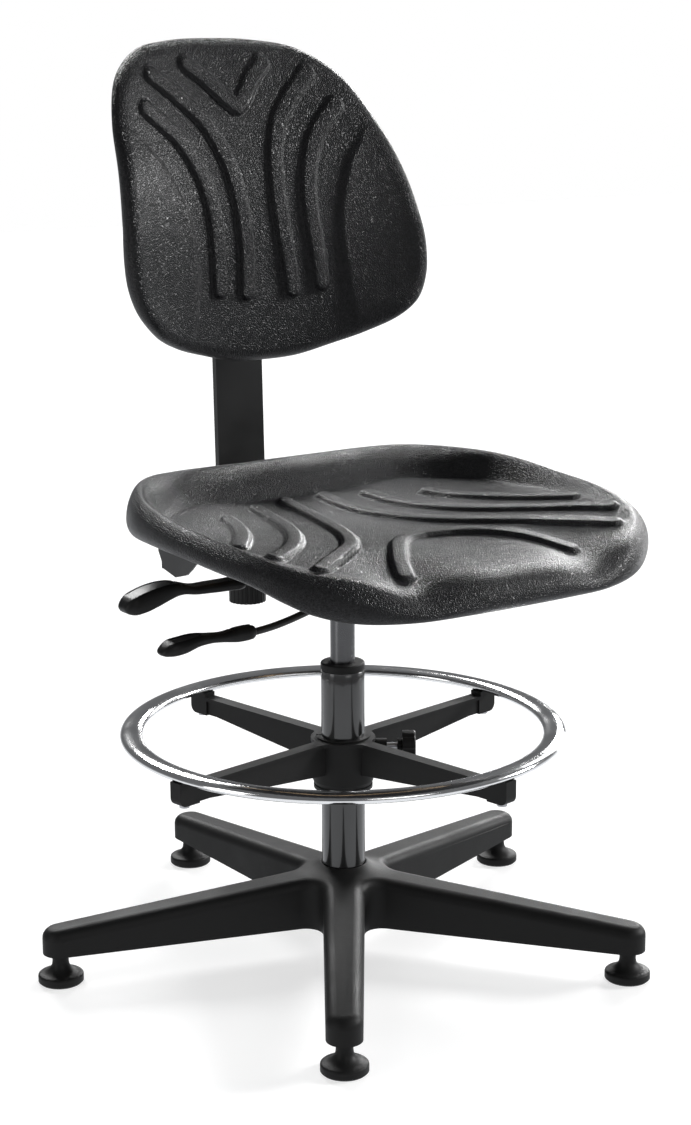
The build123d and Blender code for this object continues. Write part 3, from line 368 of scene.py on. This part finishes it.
def closed_outline(half, count):
    """Evenly spaced points of a symmetric outline, from its +X half, which starts and ends on the axis."""
    half = np.array(half, float)
    loop = np.concatenate([half, half[-2:0:-1] * (-1, 1)])
    wrap = 3
    chain = np.concatenate([loop[-wrap:], loop, loop[: wrap + 1]])
    along = chord_length(chain)
    at = np.linspace(along[wrap], along[wrap + len(loop)], count, endpoint=False)
    return np.stack([smooth_through(np.stack([along, chain[:, k]], 1), at) for k in (0, 1)], 1)


def outward(outline):
    """Unit normals of a closed outline that runs anticlockwise."""
    along = np.roll(outline, -1, axis=0) - np.roll(outline, 1, axis=0)
    normal = np.stack([along[:, 1], -along[:, 0]], 1)
    return normal / np.linalg.norm(normal, axis=1)[:, None]


def distance_to(line, x, y):
    """Distance of each place to the nearest of a line's close points."""
    places = np.stack([np.ravel(x), np.ravel(y)], 1)
    nearest = np.full(len(places), np.inf)
    for point in line:
        nearest = np.minimum(nearest, ((places - point) ** 2).sum(1))
    return np.sqrt(nearest).reshape(np.shape(x))


def add_mesh(name, points, faces, look):
    """A smooth-shaded mesh object from points in millimetres."""
    mesh = bpy.data.meshes.new(name)
    mesh.from_pydata((np.asarray(points) * MM).tolist(), [], faces)
    mesh.validate()
    mesh.shade_smooth()
    mesh.materials.append(looks[look])
    made = bpy.data.objects.new(name, mesh)
    bpy.context.scene.collection.objects.link(made)
    return made


def disc_grid(rings):
    """A square grid seen as rings.

    Returns each point's ring and its share of the way round, the grid's faces, and the outermost
    points in order.
    """
    count = 2 * rings + 1
    i, j = np.meshgrid(np.arange(count) - rings, np.arange(count) - rings, indexing="ij")
    ring = np.maximum(abs(i), abs(j))
    across = np.maximum(ring, 1) * 8
    on_side = abs(i) >= abs(j)
    turn = np.select(
        [on_side & (i > 0), on_side & (i < 0), j > 0],
        [j / across, 0.5 - j / across, 0.25 - i / across],
        0.75 + i / across,
    ) % 1.0
    index = np.arange(count * count).reshape(count, count)
    corners = [index[:-1, :-1], index[1:, :-1], index[1:, 1:], index[:-1, 1:]]
    faces = np.stack([c.ravel() for c in corners], 1).tolist()
    edge = index[ring == rings]
    edge = edge[np.argsort(np.round(turn[ring == rings] * 8 * rings) % (8 * rings))]
    return ring.ravel(), turn.ravel(), faces, edge


def spread_in(outline, centre, ring, rings, turn):
    """Places of a disc grid's points inside an outline."""
    count = len(outline)
    at = turn * count
    low = np.floor(at).astype(int)
    part = (at - low)[:, None]
    rim = outline[low % count] * (1 - part) + outline[(low + 1) % count] * part
    return centre + (rim - centre) * (ring / rings)[:, None]


ROUND_STEPS = 12
COARSE = 4          # the underside has one point for this many on the rim
UNDER_INSET = 8     # and starts this much further in than the top does


def moulded_slab(outline, centre, top, under, edge, split=0.6):
    """Points (u, v, height) and faces of a closed slab with a half-round rim.

    top and under give heights over the plane, edge is the rim's width, and split is the
    rim's part above its widest line. The outline has a multiple of 8 * COARSE points.
    """
    count = len(outline)
    rings = count // 8
    normal = outward(outline)
    ring, turn, faces, last = disc_grid(rings)
    flat = spread_in(outline - normal * edge, centre, ring, rings, turn)
    rows = [np.column_stack([flat, top(*flat.T)])]
    size = len(flat)
    thick = top(*outline.T) - under(*outline.T)
    heights = [(top, -split, quarter) for quarter in np.linspace(0, 1, ROUND_STEPS + 1)[1:]]
    heights += [(under, 1 - split, quarter) for quarter in np.linspace(1, 0, ROUND_STEPS + 1)[1:]]
    for surface, share, quarter in heights:
        at = outline - normal * edge * (1 - sin(quarter * pi / 2))
        rows.append(np.column_stack([at, surface(*at.T) + share * thick * (1 - cos(quarter * pi / 2))]))
        this = size + np.arange(count)
        for n in range(count):
            m = (n + 1) % count
            faces.append((last[n], this[n], this[m], last[m]))
        last = this
        size += count
    ring, turn, below, rim = disc_grid(rings // COARSE)
    flat = spread_in((outline - normal * (edge + UNDER_INSET))[::COARSE], centre, ring, rings // COARSE, turn)
    rows.append(np.column_stack([flat, under(*flat.T)]))
    faces += [tuple(size + v for v in reversed(face)) for face in below]
    for n in range(len(rim)):
        m = (n + 1) % len(rim)
        fine = [last[(COARSE * n + k) % count] for k in range(COARSE, -1, -1)]
        faces.append((size + rim[m], *fine, size + rim[n]))
    return np.concatenate(rows), [tuple(int(v) for v in face) for face in faces]


RIB_HALF = 11.5     # half a rib's width, at its foot
RIB_RAMP = 4.6      # width of its sloped side
RIB_RISE = 5.0


def ribs(lines, x, y):
    """Height of the raised ribs on a moulded surface that is the same on both sides."""
    height = np.zeros(np.shape(x))
    for line in lines:
        away = distance_to(smooth_line(line), np.abs(x), y)
        crown = 1 - 0.2 * np.clip(away / RIB_HALF, 0, 1) ** 2
        height = np.maximum(height, RIB_RISE * crown * smooth_step(RIB_HALF - away, 0, RIB_RAMP))
    return height


# ---------------------------------------------------------------- seat
SEAT_OUTLINE = [
    (0, -328), (70, -325), (130, -315), (175, -298), (210, -273), (238, -243), (256, -200), (265, -150),
    (267, -90), (264, -30), (254, 25), (238, 65), (219, 100), (198, 129), (172, 149), (135, 158),
    (70, 160), (0, 160),
]
SEAT_MIDDLE = [
    (-330, 497), (-310, 508), (-285, 513.5), (-250, 516.5), (-200, 518), (-150, 516), (-100, 513),
    (-39, 511), (7, 511), (45, 513.5), (74, 517), (100, 522), (162, 540),
]
SEAT_DISH = [(-330, 0.0), (-290, 0.01), (-240, 0.03), (-200, 0.06), (-120, 0.08), (60, 0.08), (162, 0.06)]
DISH_ROUND = 60                 # rounds the dish's bottom
SEAT_CREST = [
    (-330, 496), (-315, 504), (-285, 515), (-250, 523), (-212, 532), (-180, 537), (-132, 542), (-60, 547),
    (-15, 552), (35, 556), (143, 556), (162, 555),
]
SEAT_UNDER = [(-330, 473), (-312, 470), (-275, 472), (-200, 483), (-130, 486.1), (162, 486.1)]
SEAT_UNDER_RIM = [
    (-330, 474), (-315, 471), (-285, 472), (-260, 479), (-240, 489), (-205, 502), (-150, 509), (-84, 512),
    (-30, 511.5), (24, 508), (60, 502), (100, 494), (130, 489), (162, 490),
]
SEAT_RIBS = [
    [(26, 74), (31, 7), (43, -39), (65, -99), (89, -143), (117, -181), (154, -212), (191, -240)],
    [(76, 57), (83, 8), (103, -50), (141, -117), (180, -166), (219, -200)],
    [(135, 21), (146, -11), (165, -51), (189, -91), (220, -134)],
    [(108, -267), (92, -236), (76, -212), (60, -190), (30, -160), (0, -149)],
]
SEAT_CENTRE = np.array([0.0, -60.0])
SEAT_EDGE = 20                  # width of the rounded rim
CREST_IN, FOOT_IN = 14, 42      # the bolster's crest and foot are this far in from the outline
REAR_FOOT_IN = 42               # its foot is further in by this at the rear,
REAR_FROM, REAR_TO = 20, 110    # which begins over this range of y
THIGH_X, THIGH_WIDTH = 114, 42  # middle and spread of the hollow for each thigh
THIGH_FROM, THIGH_SLOPE = -190, 0.11    # the y where it starts, and how it deepens to the front
UNDER_BAND = 90                 # further in than this, the underside is at its middle height
seat_outline = closed_outline(SEAT_OUTLINE, 8 * 120)


def seat_top(x, y):
    """Height of the dished seat: pommel, thigh hollows, the crest along its sides and rear, and ribs."""
    side = np.abs(x)
    floor = smooth_through(SEAT_MIDDLE, y)
    floor += smooth_through(SEAT_DISH, y) * (np.hypot(side, DISH_ROUND) - DISH_ROUND)
    inside = distance_to(seat_outline, x, y)
    foot = FOOT_IN + REAR_FOOT_IN * smooth_step(y, REAR_FROM, REAR_TO)
    near_rim = 1 - smooth_step(inside, CREST_IN, foot)
    hollow = THIGH_SLOPE * np.maximum(0, THIGH_FROM - y) * np.exp(-(((side - THIGH_X) / THIGH_WIDTH) ** 2))
    return floor + (smooth_through(SEAT_CREST, y) - floor) * near_rim - hollow + ribs(SEAT_RIBS, x, y)


def seat_under(x, y):
    """Height of the seat's underside, flat where it lies on the steel plate."""
    near_rim = 1 - smooth_step(distance_to(seat_outline, x, y), SEAT_EDGE, UNDER_BAND)
    middle = smooth_through(SEAT_UNDER, y)
    return middle + (smooth_through(SEAT_UNDER_RIM, y) - middle) * near_rim


seat_points, seat_faces = moulded_slab(seat_outline, SEAT_CENTRE, seat_top, seat_under, SEAT_EDGE)
seat = add_mesh("seat_moulding", seat_points, seat_faces, "seat_skin")
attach(seat, "seat")
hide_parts("seat_cushion")


# ---------------------------------------------------------------- backrest
BACK_OUTLINE = [
    (0, 670), (42, 672), (86, 682), (129, 695), (163, 712), (187, 736), (198, 765), (200, 795),
    (195, 840), (187, 888), (174, 942), (149, 992), (108, 1021), (55, 1031), (0, 1033),
]
BACK_RIBS = [
    [(105, 994), (74, 967), (50, 941), (35, 908), (26, 853), (26, 814), (31, 752)],
    [(127, 957), (92, 923), (72, 883), (65, 839), (66, 808), (69, 757)],
    [(51, 1005), (31, 988), (10, 965), (0, 957)],
]
WING_CREASE = [
    (158, 950), (140, 922), (119, 895), (105, 866), (95, 834), (93, 783), (97, 749), (103, 712), (110, 690),
]
WING_EXTRA = [(675, 26), (713, 24), (745, 14), (838, 12), (885, 11), (945, 2), (1033, 0)]
BACK_THICK = [(675, 30), (740, 38), (800, 40), (860, 37), (920, 33), (975, 30), (1033, 24)]
BACK_CENTRE = np.array([0.0, 840.0])
BACK_EDGE = 16                  # width of the rounded rim
LUMBAR_Z, LUMBAR_Y = 735, 143   # the point that the lumbar curve is measured from
LUMBAR_LEAN, LUMBAR_BEND = 0.05, 0.00112
WRAP = 0.00085                  # how fast the backrest curves round the sitter
WING_X = 190                    # where a wing stands out by its WING_EXTRA
CREASE_STEP, CREASE_WIDTH = 4.5, 11
SIDE_X, SIDE_THINNER = 197, 8   # the shell is thinner by this much at its sides
PAD_CENTRE_Z, PAD_Y = 775.0, 200.9
PAD_LEAN = radians(1.5)
PAD_HALF = (59, 44)             # half sizes of the pad inside its rounded corners
PAD_CORNER, PAD_FOOT = 18, 30   # the corners' radius, at the top and the foot of the pad's slope
back_outline = closed_outline(BACK_OUTLINE, 8 * 112)


def back_shell(side, z):
    """Height of the plain curved shell: lumbar curve, wrap and wings."""
    up = z - LUMBAR_Z
    lumbar = -(LUMBAR_Y + LUMBAR_LEAN * up + LUMBAR_BEND * up**2)
    return lumbar + WRAP * side**2 + smooth_through(WING_EXTRA, z) * (side / WING_X) ** 4


def back_face(x, z):
    """How far the backrest's front stands towards the sitter: its shell, creases and ribs."""
    side = np.abs(x)
    crease = smooth_line(WING_CREASE)
    beyond = side - np.interp(z, crease[::-1, 1], crease[::-1, 0])
    along = (1 - smooth_step(z, 900, 955)) * smooth_step(z, 690, 730)
    step = CREASE_STEP * smooth_step(beyond, 0, CREASE_WIDTH) * along
    return back_shell(side, z) + step + ribs(BACK_RIBS, x, z)


def back_rear(x, z):
    """The same for the backrest's rear, with the raised pad that takes the steel plate."""
    side = np.abs(x)
    thick = smooth_through(BACK_THICK, z) - SIDE_THINNER * (side / SIDE_X) ** 2
    plain = back_shell(side, z) - thick
    up = z - PAD_CENTRE_Z
    pad = -(PAD_Y + up * tan(PAD_LEAN))
    past = np.hypot(np.maximum(side - PAD_HALF[0], 0), np.maximum(np.abs(up) - PAD_HALF[1], 0))
    return plain + (pad - plain) * (1 - smooth_step(past, PAD_CORNER, PAD_FOOT))


slab_points, slab_faces = moulded_slab(back_outline, BACK_CENTRE, back_face, back_rear, BACK_EDGE, split=0.5)
back_points = np.column_stack([slab_points[:, 0], -slab_points[:, 2], slab_points[:, 1]])
backrest = add_mesh("backrest_moulding", back_points, slab_faces, "seat_skin")
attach(backrest, "backrest")
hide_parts("backrest_cushion")


# ---------------------------------------------------------------- lever grips
PANEL_SINK, PANEL_SLOPE = 0.9, 2
SEAM_DEPTH, SEAM_WIDTH = 0.9, 1.1


def lever_grip(name, rides, y, half, top_keys, under_keys, edge, seam, panel):
    """A hand lever's grip: its plan is half, (width, x) points round the tip, and its keys are (x, z).

    seam is the x of the groove round the collar, and panel the x range of the sunk panel on top.
    """
    outline = closed_outline(half, 8 * 28)

    def top(across, x):
        inside = distance_to(outline, across, x)
        in_panel = smooth_step(inside, edge, edge + PANEL_SLOPE)
        in_panel *= smooth_step(x, panel[0], panel[0] + PANEL_SLOPE)
        in_panel *= 1 - smooth_step(x, panel[1] - PANEL_SLOPE, panel[1])
        groove = SEAM_DEPTH * np.exp(-(((x - seam) / SEAM_WIDTH) ** 2))
        return smooth_through(top_keys, x) - PANEL_SINK * in_panel - groove

    def under(across, x):
        return smooth_through(under_keys, x)

    centre = np.array([0.0, (half[0][1] + half[-1][1]) / 2])
    points, faces = moulded_slab(outline, centre, top, under, edge, split=0.5)
    placed = np.column_stack([points[:, 1], y - points[:, 0], points[:, 2]])
    made = add_mesh(name, placed, faces, "lever_plastic")
    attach(made, rides)
    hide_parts(rides + "_grip")


lever_grip(
    "height_grip", "height_lever", -40,
    [(0, -262), (8, -260), (12.5, -252), (14.5, -238), (13, -220), (9.5, -200), (8.5, -180), (8.5, -165),
     (8, -148), (6, -144), (0, -144)],
    [(-262, 407), (-250, 413.5), (-235, 415.5), (-218, 417), (-200, 415.5), (-185, 414.5), (-165, 417),
     (-144, 417)],
    [(-262, 400), (-250, 399.5), (-235, 401), (-218, 405), (-203, 405.5), (-187, 404.5), (-165, 401.5),
     (-144, 402)],
    edge=5.5, seam=-172, panel=(-246, -212),
)
lever_grip(
    "tilt_grip", "tilt_lever", 60,
    [(0, -250), (10, -249), (14.5, -243), (16.5, -228), (17, -210), (15.5, -192), (13, -176), (12.5, -160),
     (12.5, -120), (12.5, -100), (10, -96), (0, -96)],
    [(-250, 435), (-241, 441), (-228, 446), (-212, 449.5), (-198, 451), (-186, 450.5), (-175, 447.5),
     (-163, 444), (-140, 443.5), (-96, 443.5)],
    [(-250, 425), (-241, 422.5), (-228, 423.5), (-212, 428), (-198, 432.5), (-186, 435.5), (-175, 436),
     (-163, 434), (-140, 432.5), (-96, 431.5)],
    edge=5.0, seam=-180, panel=(-240, -188),
)
